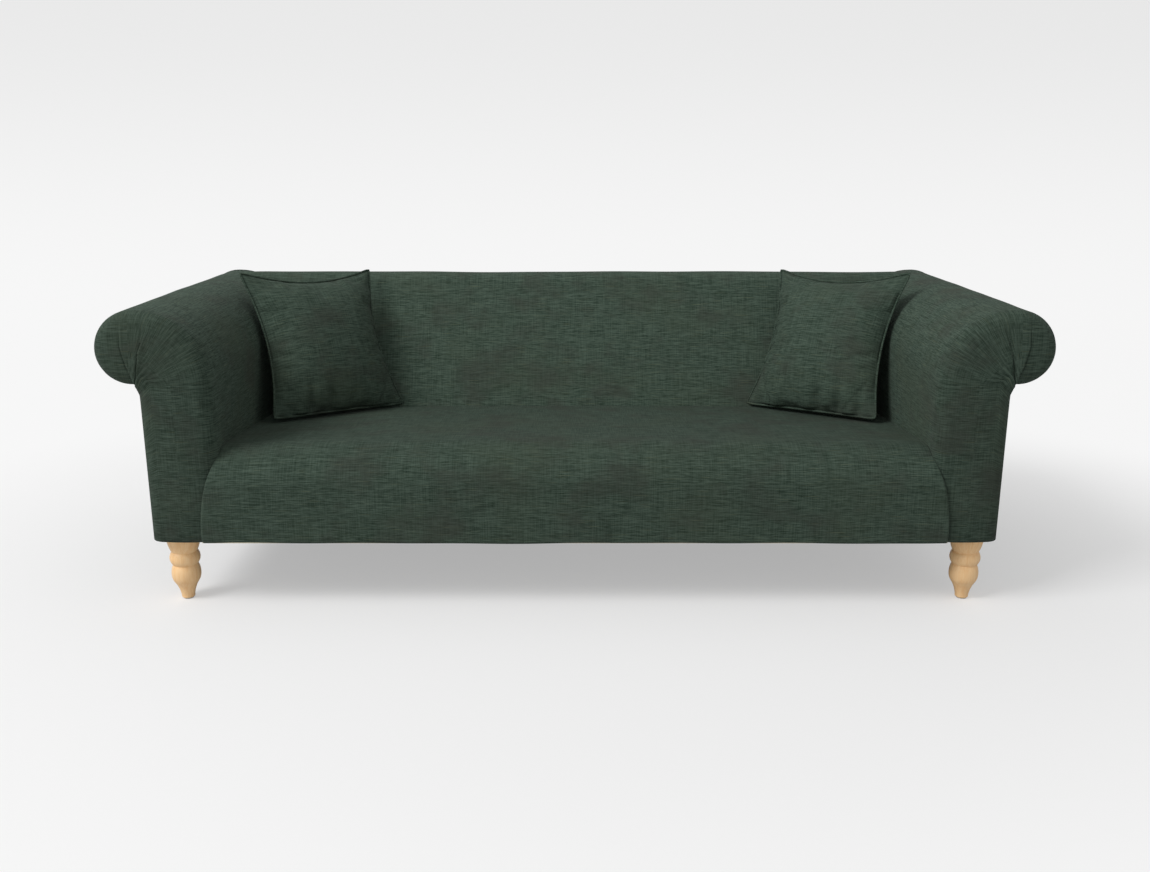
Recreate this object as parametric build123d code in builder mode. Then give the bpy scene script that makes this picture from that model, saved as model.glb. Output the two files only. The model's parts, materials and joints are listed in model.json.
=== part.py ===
from build123d import *
from math import atan, cos, radians, sin, sqrt, tan
import os

os.makedirs("parts", exist_ok=True)

# Overall sizes, in millimetres: X along the sofa, Y front to back, Z up from the floor
SOFA_WIDTH = 2400.0
SOFA_DEPTH = 970.0
SOFA_HEIGHT = 776.0
LEG_HEIGHT = 180.0

# Scrolled arms
SCROLL_OVERHANG = 102.0
SCROLL_RADIUS = 99.0
SCROLL_DROP = 186.0
ARM_THICKNESS = 183.0
ARM_EDGE = 40.0
ARM_TOP_FLAT = 6.0
TUCK_OUT = 8.0
TUCK_FALL = 30.0
TUCK_RADIUS = 7.0

# Seat and back
SEAT_NOSE = 12.0
SEAT_HEIGHT = 428.0
SEAT_REAR_HEIGHT = 378.0
SEAT_CROWN = 8.0
SEAT_NOSE_RADIUS = 100.0
SEAT_LIP = 47.0
LIP_STRAIGHT = 20.0
LIP_TOP_DROP = 20.0
BACK_HEIGHT = 774.0
BACK_DEPTH = 290.0
BACK_TOP_DEPTH = 97.0
BACK_EDGE = 50.0

# Cloth, panels, padding and the play left between soft curved faces
COVER = 2.0
PANEL = 3.0
LINING = 3.0
ARM_FOAM = 30.0
ARM_FRONT_FOAM = 23.0
BACK_FOAM = 50.0
PLAY = 0.3
OVERCUT = 20.0

# Timber frame
FACING = 18.0
FACING_SETBACK = 8.0
RAIL = 28.0
RAIL_HEIGHT = 120.0
SPRING_RAIL_HEIGHT = 80.0
SPRING_RAIL_SETBACK = 7.0
CROSS_RAIL_SPACING = 660.0
RIB = 27.0
RIB_COUNT = 5
RIB_INSET = 87.0
TOP_RAIL_HEIGHT = 38.0
TACK_RAIL_HEIGHT = 45.0
ARM_TOP_RAIL_WIDTH = 50.0
ARM_TOP_RAIL_HEIGHT = 30.0
ARM_TOP_RAIL_DROP = 9.0
BLOCK = 84.0
BLOCK_HEIGHT = 40.0

# Springs, clips, webbing and insulator pad
SPRING_COUNT = 12
SPRING_INSET = 112.0
SPRING_WIRE = 1.9
SPRING_LEG = 12.0
SPRING_TURNS = 22
CLIP_LENGTH = 16.0
CLIP_WIDTH = 10.0
CLIP_HEIGHT = 7.0
CLIP_EDGE = 2.0
WEB_COUNT = 4
WEB_WIDTH = 50.0
WEB = 1.5
INSULATOR = 3.0
INSULATOR_INSET = 15.0
DUST_COVER = 1.5
DUST_INSET = 4.0

# Turned legs and their fixings
LEG_INSET_X = 63.0
LEG_INSET_Y = 65.0
FOOT_RADIUS = 17.0
FOOT_ROUND = 3.0
LEG_TOP_RADIUS = 43.5
GLIDE_RADIUS = 13.0
GLIDE = 3.0
BOLT_RADIUS = 4.0
BOLT_IN_LEG = 45.0
BOLT_PLAY = 0.1
TEE_WALL = 1.5
TEE_FLANGE_RADIUS = 11.0
TEE_FLANGE = 1.5
TEE_BARREL = 12.0

# Scatter cushions
CUSHION_SIZE = 438.0
CUSHION_FRONT_CROWN = 75.0
CUSHION_REAR_CROWN = 50.0
CUSHION_DRAW = 36.0
CUSHION_REST_DRAW = 2.0
CUSHION_CORNER = 12.0
CUSHION_YAW = 44.5
CUSHION_LEAN = 25.5
CUSHION_ROLL = 3.3
CUSHION_ASIDE = 219.0
CUSHION_FORWARD = 146.0
CUSHION_LIFT = 18.0
CUSHION_COVER = 2.0
PIPE_RADIUS = 3.0
CUSHION_LEVELS = (0.0, 0.32, 0.62, 0.85, 0.97)

# Places worked out from the sizes
FRONT = -SOFA_DEPTH / 2
REAR = SOFA_DEPTH / 2
ARM_FRONT = FRONT + SEAT_NOSE
UPHOLSTERY_REAR = REAR - PANEL
ARM_OUTER = SOFA_WIDTH / 2 - SCROLL_OVERHANG
ARM_INNER = ARM_OUTER - ARM_THICKNESS
SCROLL_X = SOFA_WIDTH / 2 - SCROLL_RADIUS
SCROLL_Z = SOFA_HEIGHT - SCROLL_RADIUS
SHOULDER_RADIUS = SCROLL_X - ARM_TOP_FLAT - ARM_INNER
SHOULDER_X = ARM_INNER + SHOULDER_RADIUS
SHOULDER_Z = SOFA_HEIGHT - SHOULDER_RADIUS
TUCK_X = ARM_OUTER + TUCK_OUT
TUCK_Z = SOFA_HEIGHT - SCROLL_DROP
JUNCTION_Y = UPHOLSTERY_REAR - BACK_DEPTH
BACK_RAKE = atan((BACK_DEPTH - BACK_TOP_DEPTH) / (BACK_HEIGHT - SEAT_REAR_HEIGHT))
FRAME_INSET = COVER + ARM_FOAM
FRAME_INNER = ARM_INNER + FRAME_INSET
FRAME_OUTER = ARM_OUTER - PANEL
RIB_SPAN = 2 * (FRAME_INNER - RIB_INSET)
SPRING_SPACING = 2 * (ARM_INNER - SPRING_INSET) / (SPRING_COUNT - 1)
FACING_FRONT = ARM_FRONT + COVER + ARM_FRONT_FOAM
RAIL_FRONT = FACING_FRONT + FACING
RAIL_REAR = UPHOLSTERY_REAR - FACING
RAIL_TOP = LEG_HEIGHT + RAIL_HEIGHT
SIDE_RAIL_INNER = FRAME_OUTER - RAIL
BLOCK_INNER = SIDE_RAIL_INNER - BLOCK
REAR_RAIL_FRONT = UPHOLSTERY_REAR - RAIL
SPRING_RAIL_FRONT = JUNCTION_Y + SPRING_RAIL_SETBACK
SPRING_RAIL_REAR = SPRING_RAIL_FRONT + RAIL
CLIP_FRONT_Y = RAIL_FRONT + CLIP_EDGE + CLIP_WIDTH / 2
CLIP_REAR_Y = SPRING_RAIL_FRONT + CLIP_WIDTH / 2
SPRING_Z = RAIL_TOP + CLIP_HEIGHT / 2
INSULATOR_Z = RAIL_TOP + CLIP_HEIGHT + PLAY
DECK_Z = INSULATOR_Z + INSULATOR + PLAY
BACK_PANEL_TOP = BACK_HEIGHT - BACK_EDGE
RIB_TOP = BACK_PANEL_TOP - TOP_RAIL_HEIGHT
FRAME_RAKE_INSET = COVER + BACK_FOAM + WEB
LEG_X = ARM_OUTER - LEG_INSET_X
FRONT_LEG_Y = ARM_FRONT + LEG_INSET_Y
REAR_LEG_Y = REAR - LEG_INSET_Y
LEG_PLACES = [(x, y) for x in (-LEG_X, LEG_X) for y in (FRONT_LEG_Y, REAR_LEG_Y)]


def save(piece, name):
    piece.label = name
    export_step(piece, f"parts/{name}.step")


def save_pair(right_piece, name):
    save(mirror(right_piece, about=Plane.YZ), f"{name}_left")
    save(right_piece, f"{name}_right")


def block(x_span, y_span, z_span, mode=Mode.ADD):
    """Rectangular block between the given limits, in the part that is open."""
    with BuildSketch(Plane.XY.offset(z_span[0])) as base:
        with Locations((sum(x_span) / 2, sum(y_span) / 2)):
            Rectangle(x_span[1] - x_span[0], y_span[1] - y_span[0])
    extrude(base.sketch, amount=z_span[1] - z_span[0], mode=mode)


def upright_plane(y):
    """Plane across the sofa at y, seen from the front: x to the right and y up."""
    return Plane(origin=(0, y, 0), x_dir=(1, 0, 0), z_dir=(0, -1, 0))


def arm_outline(inset, outer, bottom):
    """Closed outline of the right arm, drawn in by inset on its padded sides."""
    inner = ARM_INNER + inset
    top = SOFA_HEIGHT - inset
    reach = SOFA_WIDTH / 2 - inset
    tuck = (TUCK_X, TUCK_Z + inset)
    with BuildLine() as outline:
        Line((outer, bottom), (inner, bottom))
        Line((inner, bottom), (inner, SHOULDER_Z))
        TangentArc((inner, SHOULDER_Z), (SHOULDER_X, top), tangent=(0, 1))
        Line((SHOULDER_X, top), (SCROLL_X, top))
        TangentArc((SCROLL_X, top), (reach, SCROLL_Z), tangent=(1, 0))
        TangentArc((reach, SCROLL_Z), tuck, tangent=(0, -1))
        Line(tuck, (outer, tuck[1] - TUCK_FALL))
        Line((outer, tuck[1] - TUCK_FALL), (outer, bottom))
    make_face(outline.edges())


def arm_form(inset, outer, front, rear, edge, bottom=LEG_HEIGHT):
    """Right arm as one padded block with its front edge rounded."""
    with BuildPart() as form:
        with BuildSketch(upright_plane(rear)) as outline:
            arm_outline(inset, outer, bottom)
            tuck_corner = outline.vertices().sort_by_distance((TUCK_X, rear, TUCK_Z + inset))[0]
            fillet(tuck_corner, TUCK_RADIUS)
        extrude(amount=rear - front)
        front_edges = form.faces().sort_by(Axis.Y)[0].edges()
        fillet(front_edges.sort_by(Axis.Z)[1:], edge)
    return form.part


def arm_space():
    """Right arm with its play, to be kept clear by what lies against it."""
    return arm_form(-PLAY, ARM_OUTER, ARM_FRONT - PLAY, REAR, ARM_EDGE + PLAY, LEG_HEIGHT - OVERCUT)


def back_line(z, inset):
    """Place of the raked inside back at height z, drawn in by inset."""
    return JUNCTION_Y + inset / cos(BACK_RAKE) + (z - SEAT_REAR_HEIGHT) * tan(BACK_RAKE)


def back_form(inset, rear, bottom):
    """Raked back as one padded block that runs on into the arms."""
    top = BACK_HEIGHT - inset
    with BuildPart() as form:
        with BuildSketch(Plane.YZ.offset(-SHOULDER_X)):
            with BuildLine():
                edge = FilletPolyline(
                    (back_line(bottom, inset), bottom),
                    (back_line(top, inset), top),
                    (rear, top),
                    (rear, bottom),
                    radius=BACK_EDGE - inset,
                )
                Line(edge @ 1, edge @ 0)
            make_face()
        extrude(amount=2 * SHOULDER_X)
    return form.part


def seat_section(inset, crown, rear, bottom):
    """Side view of the seat: front border, round nose and a top that falls to the back."""
    front = FRONT + inset
    fall = (SEAT_HEIGHT - SEAT_REAR_HEIGHT) / (JUNCTION_Y - FRONT)
    nose_top = SEAT_HEIGHT + crown - inset
    with BuildLine() as section:
        edge = FilletPolyline(
            (front, bottom),
            (front, nose_top),
            (rear, nose_top - fall * (rear - front)),
            radius=SEAT_NOSE_RADIUS - inset,
        )
        Polyline(edge @ 1, (rear, bottom), edge @ 0)
    make_face(section.edges())


def seat_lip_form(inset, rear, bottom):
    """Right shoulder of the seat, lapping in front of the arm."""
    half = ARM_INNER - PLAY - inset
    reach = ARM_INNER + SEAT_LIP - inset
    with BuildPart() as lip:
        with BuildSketch(Plane.YZ.offset(half)):
            seat_section(inset, 0.0, rear, bottom)
        extrude(amount=reach - half)
        with BuildSketch(upright_plane(rear)):
            with BuildLine():
                side = Line((reach, bottom), (reach, LEG_HEIGHT + LIP_STRAIGHT))
                crest = (half, SEAT_HEIGHT - LIP_TOP_DROP - inset)
                TangentArc(side @ 1, crest, tangent=(0, 1))
                Polyline(crest, (half, bottom), side @ 0)
            make_face()
        extrude(amount=rear - FRONT, mode=Mode.INTERSECT)
    return lip.part


def seat_form(inset, bottom):
    """Seat as one padded block, crowned along its length, with its two shoulders."""
    half = ARM_INNER - PLAY - inset
    rear = JUNCTION_Y + RAIL
    right_lip = seat_lip_form(inset, rear, bottom)
    left_lip = mirror(right_lip, about=Plane.YZ)
    with BuildPart() as form:
        for x, crown in ((-half, 0.0), (0.0, SEAT_CROWN), (half, 0.0)):
            with BuildSketch(Plane.YZ.offset(x)):
                seat_section(inset, crown, rear, bottom)
        loft()
        add(right_lip)
        add(left_lip)
    return form.part


# Base frame
with BuildPart() as front_rail:
    block((-BLOCK_INNER, BLOCK_INNER), (RAIL_FRONT, RAIL_FRONT + RAIL), (LEG_HEIGHT, RAIL_TOP))
save(front_rail.part, "front_rail")

with BuildPart() as rear_rail:
    block((-FRAME_INNER, FRAME_INNER), (REAR_RAIL_FRONT, UPHOLSTERY_REAR), (LEG_HEIGHT, RAIL_TOP))
save(rear_rail.part, "rear_rail")

with BuildPart() as side_rail:
    block((SIDE_RAIL_INNER, FRAME_OUTER), (RAIL_FRONT, RAIL_REAR), (LEG_HEIGHT, RAIL_TOP))
save_pair(side_rail.part, "side_rail")

with BuildPart() as spring_rail:
    block(
        (-SIDE_RAIL_INNER, SIDE_RAIL_INNER),
        (SPRING_RAIL_FRONT, SPRING_RAIL_REAR),
        (RAIL_TOP - SPRING_RAIL_HEIGHT, RAIL_TOP),
    )
save(spring_rail.part, "spring_rail")

with BuildPart() as cross_rails:
    for x in (-CROSS_RAIL_SPACING / 2, CROSS_RAIL_SPACING / 2):
        block(
            (x - RAIL / 2, x + RAIL / 2),
            (RAIL_FRONT + RAIL, REAR_RAIL_FRONT),
            (LEG_HEIGHT, RAIL_TOP - SPRING_RAIL_HEIGHT),
        )
save(cross_rails.part, "cross_rails")

with BuildPart() as corner_blocks:
    for y_span in ((RAIL_FRONT, RAIL_FRONT + BLOCK), (RAIL_REAR - BLOCK, RAIL_REAR)):
        for x_span in ((-SIDE_RAIL_INNER, -BLOCK_INNER), (BLOCK_INNER, SIDE_RAIL_INNER)):
            block(x_span, y_span, (LEG_HEIGHT, LEG_HEIGHT + BLOCK_HEIGHT))
    with BuildSketch(Plane.XY.offset(LEG_HEIGHT)):
        with Locations(*LEG_PLACES):
            Circle(BOLT_RADIUS + 2 * BOLT_PLAY + TEE_WALL)
    extrude(amount=BLOCK_HEIGHT, mode=Mode.SUBTRACT)
save(corner_blocks.part, "corner_blocks")

# Arm frames: scroll-cut facings, rails and the hardboard lining under the padding
for name, y in (("arm_facing_front", FACING_FRONT + FACING), ("arm_facing_rear", UPHOLSTERY_REAR)):
    with BuildPart() as arm_facing:
        with BuildSketch(upright_plane(y)):
            arm_outline(FRAME_INSET + PLAY, FRAME_OUTER - FACING_SETBACK, LEG_HEIGHT)
        extrude(amount=FACING)
    save_pair(arm_facing.part, name)

with BuildPart() as arm_lining:
    with BuildSketch(upright_plane(RAIL_REAR)):
        arm_outline(FRAME_INSET + PLAY, FRAME_OUTER, LEG_HEIGHT)
    extrude(amount=RAIL_REAR - RAIL_FRONT)
    with BuildSketch(upright_plane(RAIL_REAR)):
        arm_outline(FRAME_INSET + PLAY + LINING, FRAME_OUTER, LEG_HEIGHT)
    extrude(amount=RAIL_REAR - RAIL_FRONT, mode=Mode.SUBTRACT)
    lining_end = SCROLL_X - ARM_TOP_RAIL_WIDTH / 4
    block((lining_end, SOFA_WIDTH / 2), (RAIL_FRONT, RAIL_REAR), (LEG_HEIGHT, SOFA_HEIGHT), Mode.SUBTRACT)
    block((ARM_INNER, lining_end), (RAIL_FRONT, RAIL_REAR), (LEG_HEIGHT, RAIL_TOP), Mode.SUBTRACT)
save_pair(arm_lining.part, "arm_lining")

TACK_INNER = FRAME_INNER + PLAY + LINING
with BuildPart() as arm_tack_rail:
    block((TACK_INNER, TACK_INNER + RAIL), (RAIL_FRONT, RAIL_REAR), (RAIL_TOP, RAIL_TOP + TACK_RAIL_HEIGHT))
save_pair(arm_tack_rail.part, "arm_tack_rail")

ARM_TOP_RAIL_TOP = SOFA_HEIGHT - FRAME_INSET - ARM_TOP_RAIL_DROP
with BuildPart() as arm_top_rail:
    block(
        (SCROLL_X - ARM_TOP_RAIL_WIDTH / 2, SCROLL_X + ARM_TOP_RAIL_WIDTH / 2),
        (RAIL_FRONT, RAIL_REAR),
        (ARM_TOP_RAIL_TOP - ARM_TOP_RAIL_HEIGHT, ARM_TOP_RAIL_TOP),
    )
save_pair(arm_top_rail.part, "arm_top_rail")

# Back frame: ply ribs, top rail and webbing across the ribs
with BuildPart() as back_ribs:
    for i in range(RIB_COUNT):
        rib_x = RIB_SPAN * (i / (RIB_COUNT - 1) - 0.5)
        with BuildSketch(Plane.YZ.offset(rib_x - RIB / 2)):
            with BuildLine():
                Polyline(
                    (SPRING_RAIL_REAR, LEG_HEIGHT),
                    (SPRING_RAIL_REAR, RAIL_TOP),
                    (back_line(RAIL_TOP, FRAME_RAKE_INSET), RAIL_TOP),
                    (back_line(RIB_TOP, FRAME_RAKE_INSET), RIB_TOP),
                    (REAR_RAIL_FRONT, RIB_TOP),
                    (REAR_RAIL_FRONT, LEG_HEIGHT),
                    close=True,
                )
            make_face()
        extrude(amount=RIB)
save(back_ribs.part, "back_ribs")

TOP_RAIL_HALF = RIB_SPAN / 2 + RIB
with BuildPart() as back_top_rail:
    block(
        (-TOP_RAIL_HALF, TOP_RAIL_HALF),
        (back_line(BACK_PANEL_TOP, FRAME_RAKE_INSET), UPHOLSTERY_REAR),
        (RIB_TOP, BACK_PANEL_TOP),
    )
save(back_top_rail.part, "back_top_rail")

WEB_FOOT = DECK_Z + WEB_WIDTH
WEB_STEP = (RIB_TOP - WEB_WIDTH - WEB_FOOT) / (WEB_COUNT - 1)
with BuildPart() as back_webbing:
    for i in range(WEB_COUNT):
        web_z = WEB_FOOT + i * WEB_STEP
        web_plane = Plane(
            origin=(0, back_line(web_z, FRAME_RAKE_INSET), web_z),
            x_dir=(1, 0, 0),
            z_dir=(0, -cos(BACK_RAKE), sin(BACK_RAKE)),
        )
        with BuildSketch(web_plane):
            Rectangle(RIB_SPAN + RIB, WEB_WIDTH)
        extrude(amount=WEB)
save(back_webbing.part, "back_webbing")

# Seat suspension: sinuous springs in clips, with an insulator pad over them
with BuildPart() as spring:
    with BuildLine() as spring_path:
        pitch = (CLIP_REAR_Y - CLIP_FRONT_Y) / SPRING_TURNS
        for i in range(SPRING_TURNS + 1):
            y = CLIP_FRONT_Y + i * pitch
            side = SPRING_LEG if i % 2 == 0 else -SPRING_LEG
            Line((-side, y, SPRING_Z), (side, y, SPRING_Z))
            if i < SPRING_TURNS:
                bulge = side + (pitch / 2 if side > 0 else -pitch / 2)
                ThreePointArc((side, y, SPRING_Z), (bulge, y + pitch / 2, SPRING_Z), (side, y + pitch, SPRING_Z))
    with BuildSketch(Plane(origin=spring_path.line @ 0, z_dir=spring_path.line % 0)):
        Circle(SPRING_WIRE)
    sweep(path=spring_path.line)

SPRING_PLACES = [(SPRING_SPACING * (i - (SPRING_COUNT - 1) / 2), 0, 0) for i in range(SPRING_COUNT)]
with BuildPart() as seat_springs:
    with Locations(*SPRING_PLACES):
        add(spring.part)
save(seat_springs.part, "seat_springs")

with BuildPart() as spring_clips:
    for place in SPRING_PLACES:
        clip_x = (place[0] - CLIP_LENGTH / 2, place[0] + CLIP_LENGTH / 2)
        for y in (CLIP_FRONT_Y, CLIP_REAR_Y):
            block(clip_x, (y - CLIP_WIDTH / 2, y + CLIP_WIDTH / 2), (RAIL_TOP, RAIL_TOP + CLIP_HEIGHT))
    for y in (CLIP_FRONT_Y, CLIP_REAR_Y):
        with BuildSketch(Plane(origin=(-FRAME_INNER, y, SPRING_Z), z_dir=(1, 0, 0))):
            Circle(SPRING_WIRE + BOLT_PLAY)
        extrude(amount=2 * FRAME_INNER, mode=Mode.SUBTRACT)
save(spring_clips.part, "spring_clips")

with BuildPart() as seat_insulator:
    block(
        (INSULATOR_INSET - ARM_INNER, ARM_INNER - INSULATOR_INSET),
        (RAIL_FRONT, SPRING_RAIL_FRONT + CLIP_WIDTH),
        (INSULATOR_Z, INSULATOR_Z + INSULATOR),
    )
save(seat_insulator.part, "seat_insulator")

# Arm padding and covers
arm_clear_right = arm_space()
arm_clear_left = mirror(arm_clear_right, about=Plane.YZ)
arm_skin = arm_form(0.0, ARM_OUTER, ARM_FRONT, UPHOLSTERY_REAR, ARM_EDGE)
arm_hollow = arm_form(
    COVER, ARM_OUTER - COVER, ARM_FRONT + COVER, REAR, ARM_EDGE - COVER, LEG_HEIGHT - OVERCUT
)
PANEL_TOP = TUCK_Z - TUCK_FALL
BEHIND_FRONT = (ARM_FRONT + ARM_EDGE, REAR)
with BuildPart() as arm_cover:
    add(arm_skin)
    add(arm_hollow, mode=Mode.SUBTRACT)
    block((FRAME_OUTER, SOFA_WIDTH / 2), BEHIND_FRONT, (LEG_HEIGHT, PANEL_TOP), Mode.SUBTRACT)
    block((ARM_INNER, TACK_INNER), (RAIL_FRONT, REAR), (LEG_HEIGHT, RAIL_TOP), Mode.SUBTRACT)
save_pair(arm_cover.part, "arm_cover")

arm_pad = arm_form(
    COVER + PLAY, ARM_OUTER - COVER - PLAY, ARM_FRONT + COVER + PLAY, UPHOLSTERY_REAR, ARM_EDGE - COVER - PLAY
)
with BuildPart() as arm_foam:
    add(arm_pad)
    with BuildSketch(upright_plane(REAR)):
        arm_outline(FRAME_INSET, ARM_OUTER + OVERCUT, LEG_HEIGHT - OVERCUT)
    extrude(amount=REAR - FACING_FRONT, mode=Mode.SUBTRACT)
    block((FRAME_OUTER, SOFA_WIDTH / 2), BEHIND_FRONT, (LEG_HEIGHT, PANEL_TOP), Mode.SUBTRACT)
    block((ARM_INNER, TACK_INNER), (RAIL_FRONT, REAR), (LEG_HEIGHT, RAIL_TOP), Mode.SUBTRACT)
save_pair(arm_foam.part, "arm_foam")

with BuildPart() as outside_arm:
    block((FRAME_OUTER, ARM_OUTER), (BEHIND_FRONT[0], UPHOLSTERY_REAR), (LEG_HEIGHT, PANEL_TOP))
save_pair(outside_arm.part, "outside_arm")

# Back padding and covers
back_skin = back_form(0.0, UPHOLSTERY_REAR, DECK_Z)
back_hollow = back_form(COVER, UPHOLSTERY_REAR - COVER, DECK_Z - OVERCUT)
back_pad = back_form(COVER + PLAY, UPHOLSTERY_REAR - COVER - PLAY, DECK_Z)
ACROSS = (-SOFA_WIDTH / 2, SOFA_WIDTH / 2)
with BuildPart() as inside_back_cover:
    add(back_skin)
    add(back_hollow, mode=Mode.SUBTRACT)
    block(ACROSS, (UPHOLSTERY_REAR - BACK_EDGE / 2, REAR), (LEG_HEIGHT, BACK_PANEL_TOP), Mode.SUBTRACT)
    add(arm_clear_right, mode=Mode.SUBTRACT)
    add(arm_clear_left, mode=Mode.SUBTRACT)
save(inside_back_cover.part, "inside_back_cover")

with BuildPart() as back_foam:
    add(back_pad)
    with BuildSketch(Plane.YZ.offset(-SOFA_WIDTH / 2)):
        with BuildLine():
            front_inset = COVER + BACK_FOAM
            Polyline(
                (back_line(LEG_HEIGHT, front_inset), LEG_HEIGHT),
                (back_line(BACK_PANEL_TOP, front_inset), BACK_PANEL_TOP),
                (REAR, BACK_PANEL_TOP),
                (REAR, LEG_HEIGHT),
                close=True,
            )
        make_face()
    extrude(amount=SOFA_WIDTH, mode=Mode.SUBTRACT)
    add(arm_clear_right, mode=Mode.SUBTRACT)
    add(arm_clear_left, mode=Mode.SUBTRACT)
save(back_foam.part, "back_foam")

with BuildPart() as outside_back:
    with BuildSketch(upright_plane(REAR)) as back_outline:
        arm_outline(0.0, ARM_OUTER, LEG_HEIGHT)
        mirror(about=Plane.YZ)
        with Locations((0, (LEG_HEIGHT + BACK_PANEL_TOP) / 2)):
            Rectangle(2 * (ARM_INNER + ARM_EDGE), BACK_PANEL_TOP - LEG_HEIGHT)
    extrude(amount=PANEL)
save(outside_back.part, "outside_back")

# Seat padding and cover
back_clear = back_form(-PLAY, REAR, LEG_HEIGHT)
seat_skin = seat_form(0.0, LEG_HEIGHT)
seat_hollow = seat_form(COVER, LEG_HEIGHT - OVERCUT)
seat_pad = seat_form(COVER + PLAY, LEG_HEIGHT)
with BuildPart() as seat_cover:
    add(seat_skin)
    add(seat_hollow, mode=Mode.SUBTRACT)
    block(ACROSS, (RAIL_FRONT, REAR), (LEG_HEIGHT - OVERCUT, DECK_Z), Mode.SUBTRACT)
    add(back_clear, mode=Mode.SUBTRACT)
    add(arm_clear_right, mode=Mode.SUBTRACT)
    add(arm_clear_left, mode=Mode.SUBTRACT)
save(seat_cover.part, "seat_cover")

with BuildPart() as seat_foam:
    add(seat_pad)
    block(ACROSS, (RAIL_FRONT, REAR), (LEG_HEIGHT - OVERCUT, DECK_Z), Mode.SUBTRACT)
    add(back_clear, mode=Mode.SUBTRACT)
    add(arm_clear_right, mode=Mode.SUBTRACT)
    add(arm_clear_left, mode=Mode.SUBTRACT)
save(seat_foam.part, "seat_foam")

with BuildPart() as dust_cover:
    block(
        (DUST_INSET - ARM_OUTER, ARM_OUTER - DUST_INSET),
        (ARM_FRONT + ARM_EDGE, REAR - DUST_INSET),
        (LEG_HEIGHT - DUST_COVER, LEG_HEIGHT),
    )
    with BuildSketch(Plane.XY.offset(LEG_HEIGHT - DUST_COVER)):
        with Locations(*LEG_PLACES):
            Circle(LEG_TOP_RADIUS + DUST_COVER)
    extrude(amount=DUST_COVER, mode=Mode.SUBTRACT)
save(dust_cover.part, "dust_cover")

# Turned leg: foot, swelling bulb, ring between two grooves and a flared collar
BULB = (37.6, 72.5)
LOWER_GROOVE = (31.7, 97.0)
RING = (39.2, 115.5)
UPPER_GROOVE = (33.0, 133.0)
COLLAR = (40.2, 152.0)
NECK = (18.7, 18.6)
CALF = (27.6, 42.0)
for side, x in (("left", -LEG_X), ("right", LEG_X)):
    for end, y in (("front", FRONT_LEG_Y), ("rear", REAR_LEG_Y)):
        with BuildPart() as leg:
            with BuildSketch(Plane(origin=(x, y, 0), x_dir=(1, 0, 0), z_dir=(0, -1, 0))):
                with BuildLine():
                    foot = Polyline((0, LEG_HEIGHT), (0, GLIDE), (FOOT_RADIUS - FOOT_ROUND, GLIDE))
                    ankle = TangentArc(foot @ 1, (FOOT_RADIUS, GLIDE + FOOT_ROUND), tangent=(1, 0))
                    Spline(ankle @ 1, NECK, CALF, BULB, tangents=((0, 1), (0, 1)))
                    TangentArc(BULB, LOWER_GROOVE, tangent=(0, 1))
                    ThreePointArc(LOWER_GROOVE, RING, UPPER_GROOVE)
                    ThreePointArc(UPPER_GROOVE, COLLAR, (LEG_TOP_RADIUS, LEG_HEIGHT))
                    Line((LEG_TOP_RADIUS, LEG_HEIGHT), (0, LEG_HEIGHT))
                make_face()
            revolve(axis=Axis((x, y, 0), (0, 0, 1)))
            with BuildSketch(Plane(origin=(x, y, LEG_HEIGHT - BOLT_IN_LEG))):
                Circle(BOLT_RADIUS + BOLT_PLAY)
            extrude(amount=BOLT_IN_LEG, mode=Mode.SUBTRACT)
        save(leg.part, f"leg_{end}_{side}")

BLOCK_TOP = LEG_HEIGHT + BLOCK_HEIGHT
with BuildPart() as leg_bolts:
    with BuildSketch(Plane.XY.offset(LEG_HEIGHT - BOLT_IN_LEG)):
        with Locations(*LEG_PLACES):
            Circle(BOLT_RADIUS)
    extrude(amount=BOLT_IN_LEG + BLOCK_HEIGHT + TEE_FLANGE)
save(leg_bolts.part, "leg_bolts")

with BuildPart() as leg_tee_nuts:
    with BuildSketch(Plane.XY.offset(BLOCK_TOP - TEE_BARREL)):
        with Locations(*LEG_PLACES):
            Circle(BOLT_RADIUS + BOLT_PLAY + TEE_WALL)
    extrude(amount=TEE_BARREL)
    with BuildSketch(Plane.XY.offset(BLOCK_TOP)):
        with Locations(*LEG_PLACES):
            Circle(TEE_FLANGE_RADIUS)
    extrude(amount=TEE_FLANGE)
    with BuildSketch(Plane.XY.offset(BLOCK_TOP - TEE_BARREL)):
        with Locations(*LEG_PLACES):
            Circle(BOLT_RADIUS + BOLT_PLAY)
    extrude(amount=TEE_BARREL + TEE_FLANGE, mode=Mode.SUBTRACT)
save(leg_tee_nuts.part, "leg_tee_nuts")

with BuildPart() as leg_glides:
    with BuildSketch():
        with Locations(*LEG_PLACES):
            Circle(GLIDE_RADIUS)
    extrude(amount=GLIDE)
save(leg_glides.part, "leg_glides")


# Scatter cushions, leaning in the corners between the arms and the back
def cushion_plane(offset):
    """Plane in the right cushion, offset from its seam: x along the cushion, y up it."""
    yaw = radians(CUSHION_YAW)
    lean = radians(CUSHION_LEAN)
    seat_fall = (SEAT_HEIGHT - SEAT_REAR_HEIGHT) / (JUNCTION_Y - FRONT)
    y = JUNCTION_Y - CUSHION_FORWARD
    z = SEAT_REAR_HEIGHT + seat_fall * (JUNCTION_Y - y) + CUSHION_LIFT
    seam = Plane(
        origin=(ARM_INNER - CUSHION_ASIDE, y, z),
        x_dir=(cos(yaw), -sin(yaw), 0),
        z_dir=(-sin(yaw) * cos(lean), -cos(yaw) * cos(lean), sin(lean)),
    )
    return seam.rotated((0, 0, CUSHION_ROLL)).offset(offset)


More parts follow.
